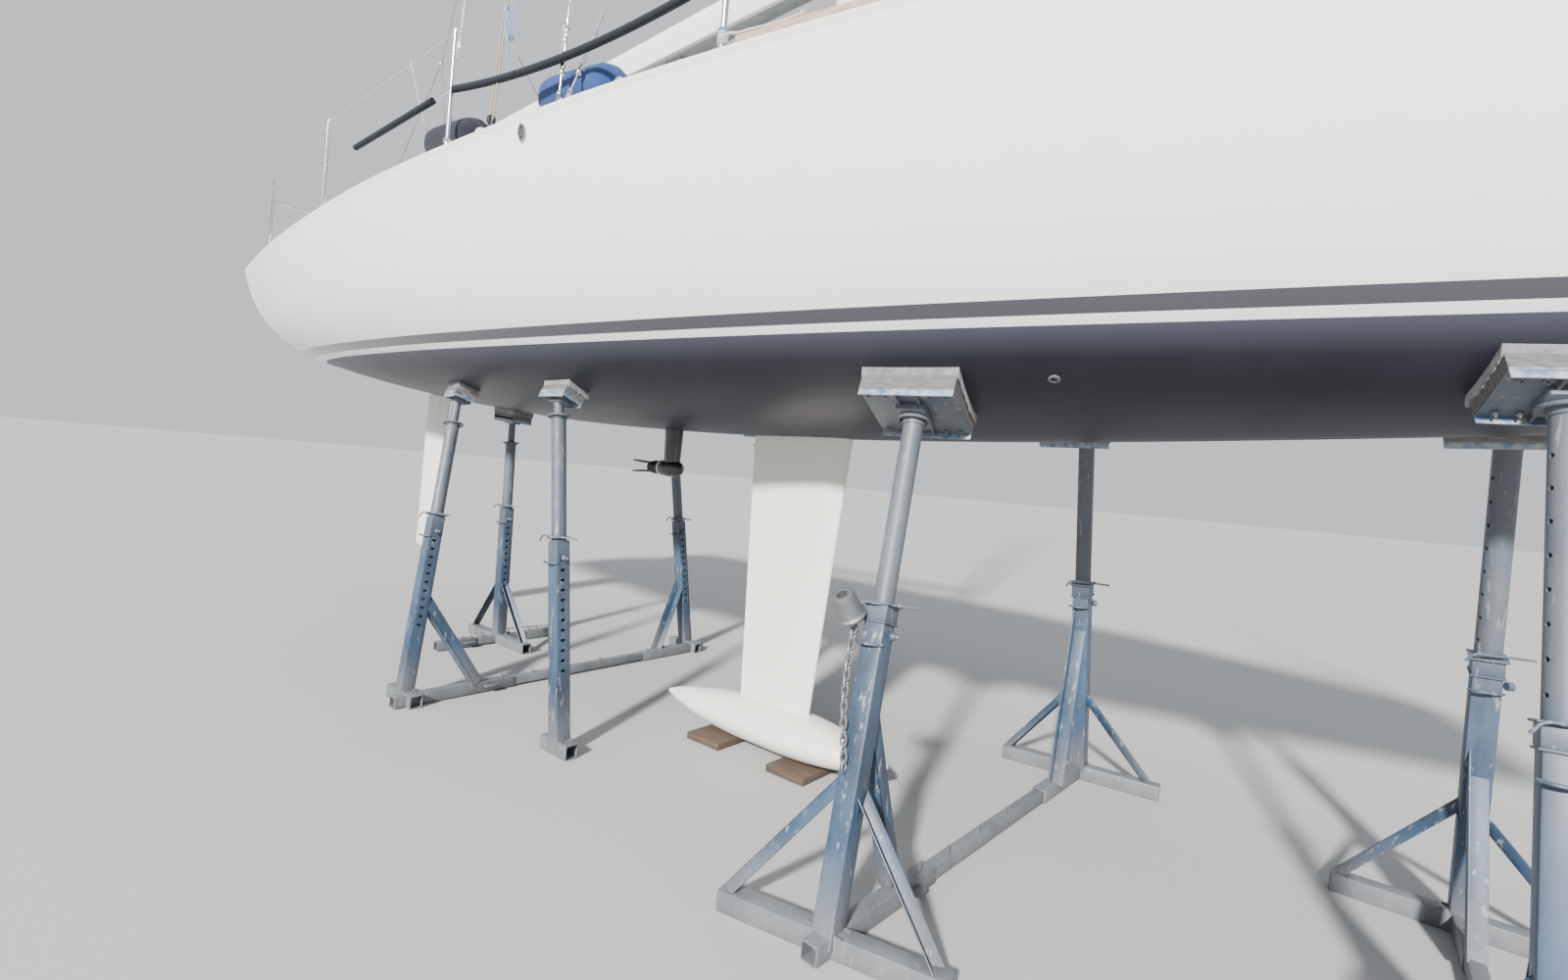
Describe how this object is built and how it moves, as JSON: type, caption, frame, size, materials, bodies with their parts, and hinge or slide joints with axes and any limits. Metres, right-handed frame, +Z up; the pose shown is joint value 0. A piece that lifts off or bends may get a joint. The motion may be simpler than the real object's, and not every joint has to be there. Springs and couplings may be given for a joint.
{
  "type": "sailing yacht",
  "caption": "Sloop-rigged fin-keel sailing yacht standing on her bulb keel, steadied by adjustable props, with mast, boom, rigging, helm, cockpit and deck gear.",
  "frame": {"origin": "on the ground, under the middle of the hull's length and on its centre plane", "axes": "+X to the bow, +Y to port, +Z up; the yacht stands level"},
  "size_m": [10.5, 3.203, 17.8],
  "materials": {
    "topsides": "white gelcoat, glossy",
    "bottom": "dark grey bottom paint, satin",
    "deck": "off-white gelcoat with a fine non-slip",
    "tinted": "smoked acrylic",
    "keel": "cream-white epoxy, satin, lightly scuffed",
    "board": "raw weathered planks",
    "drive": "dark satin paint",
    "engine": "grey paint",
    "bronze": "dull bronze",
    "spar": "white enamel, semi-gloss",
    "alloy": "clear anodised",
    "steel": "polished stainless steel",
    "teak": "bare weathered teak",
    "blue_cloth": "fleecy blue cover",
    "navy_cloth": "dark navy cover",
    "prop": "blue-grey paint, chipped and rusted"
  },
  "bodies": {
    "root": {"hull_bottom": "bottom", "topsides_port": "topsides", "topsides_starboard": "topsides", "rudder_tube": "topsides", "deck": "deck", "anchor_locker": "topsides", "coachroof": "topsides", "window_aft_port": "tinted", "window_aft_starboard": "tinted", "window_forward_port": "tinted", "window_forward_starboard": "tinted", "washboard": "tinted", "cockpit_sole": "deck", "seat_port": "deck", "seat_starboard": "deck", "stern_seat_port": "deck", "stern_seat_starboard": "deck", "coaming_port": "deck", "coaming_starboard": "deck", "keel_fin": "keel", "keel_bulb": "keel", "keel_board_aft": "board", "keel_board_front": "board", "saildrive_leg": "drive", "engine": "engine", "mast": "spar", "forestay": "alloy", "backstay": "steel", "shrouds_port": "steel", "shrouds_starboard": "steel", "lifelines_port": "steel", "lifelines_starboard": "steel", "pulpit": "steel", "pushpit_port": "steel", "pushpit_starboard": "steel", "toe_rail": "teak", "winch_primary_port": "steel", "winch_roof_port": "steel", "winch_primary_starboard": "steel", "winch_roof_starboard": "steel", "pedestal": "topsides", "fender_blue": "blue_cloth", "fender_navy": "navy_cloth", "cradle_bow": "prop", "cradle_mid": "prop", "cradle_quarter_starboard": "prop", "cradle_quarter_port": "prop", "cradle_aft": "prop", "cradle_stern": "prop"},
    "companionway_slide": {"companionway_slide": "topsides"},
    "saloon_hatch": {"saloon_hatch": "tinted"},
    "fore_hatch": {"fore_hatch": "tinted"},
    "locker_lid_port": {"locker_lid_port": "deck"},
    "locker_lid_starboard": {"locker_lid_starboard": "deck"},
    "anchor_locker_lid": {"anchor_locker_lid": "deck"},
    "propeller": {"propeller": "bronze"},
    "rudder": {"rudder": "keel"},
    "wheel": {"wheel": "steel"},
    "boom": {"boom": "spar", "vang": "alloy"}
  },
  "joints": [
    {"name": "boom_swing", "type": "hinge", "parent": "root", "child": "boom", "pos_m": [0.158, 0, 4.575], "axis": [0, 0, 1], "range_deg": [-70, 70]},
    {"name": "rudder_turn", "type": "hinge", "parent": "root", "child": "rudder", "pos_m": [-4.1194, 0, 2], "axis": [0.0995, 0, 0.995], "range_deg": [-35, 35]},
    {"name": "wheel_turn", "type": "hinge", "parent": "root", "child": "wheel", "pos_m": [-3.95, 0, 3.38], "axis": [1, 0, 0], "range_deg": [-315, 315]},
    {"name": "propeller_spin", "type": "hinge", "parent": "root", "child": "propeller", "pos_m": [-1, 0, 1.595], "axis": [1, 0, 0], "continuous": true},
    {"name": "slide_open", "type": "slide", "parent": "root", "child": "companionway_slide", "axis": [1, 0, 0], "range_m": [0, 0.55]},
    {"name": "saloon_hatch_open", "type": "hinge", "parent": "root", "child": "saloon_hatch", "pos_m": [1.048, 0, 3.572], "axis": [0, 1, 0], "range_deg": [0, 80]},
    {"name": "fore_hatch_open", "type": "hinge", "parent": "root", "child": "fore_hatch", "pos_m": [1.908, 0, 3.512], "axis": [0, 1, 0], "range_deg": [0, 80]},
    {"name": "port_locker_open", "type": "hinge", "parent": "root", "child": "locker_lid_port", "pos_m": [-2.75, 0.844, 3.01], "axis": [-1, 0, 0], "range_deg": [0, 80]},
    {"name": "starboard_locker_open", "type": "hinge", "parent": "root", "child": "locker_lid_starboard", "pos_m": [-2.75, -0.844, 3.01], "axis": [1, 0, 0], "range_deg": [0, 80]},
    {"name": "anchor_locker_open", "type": "hinge", "parent": "root", "child": "anchor_locker_lid", "pos_m": [4.344, 0, 3.31], "axis": [0, 1, 0], "range_deg": [0, 85]}
  ],
  "couplings": [
    {"joint": "rudder_turn", "follows": "wheel_turn", "ratio": 0.1111}
  ]
}
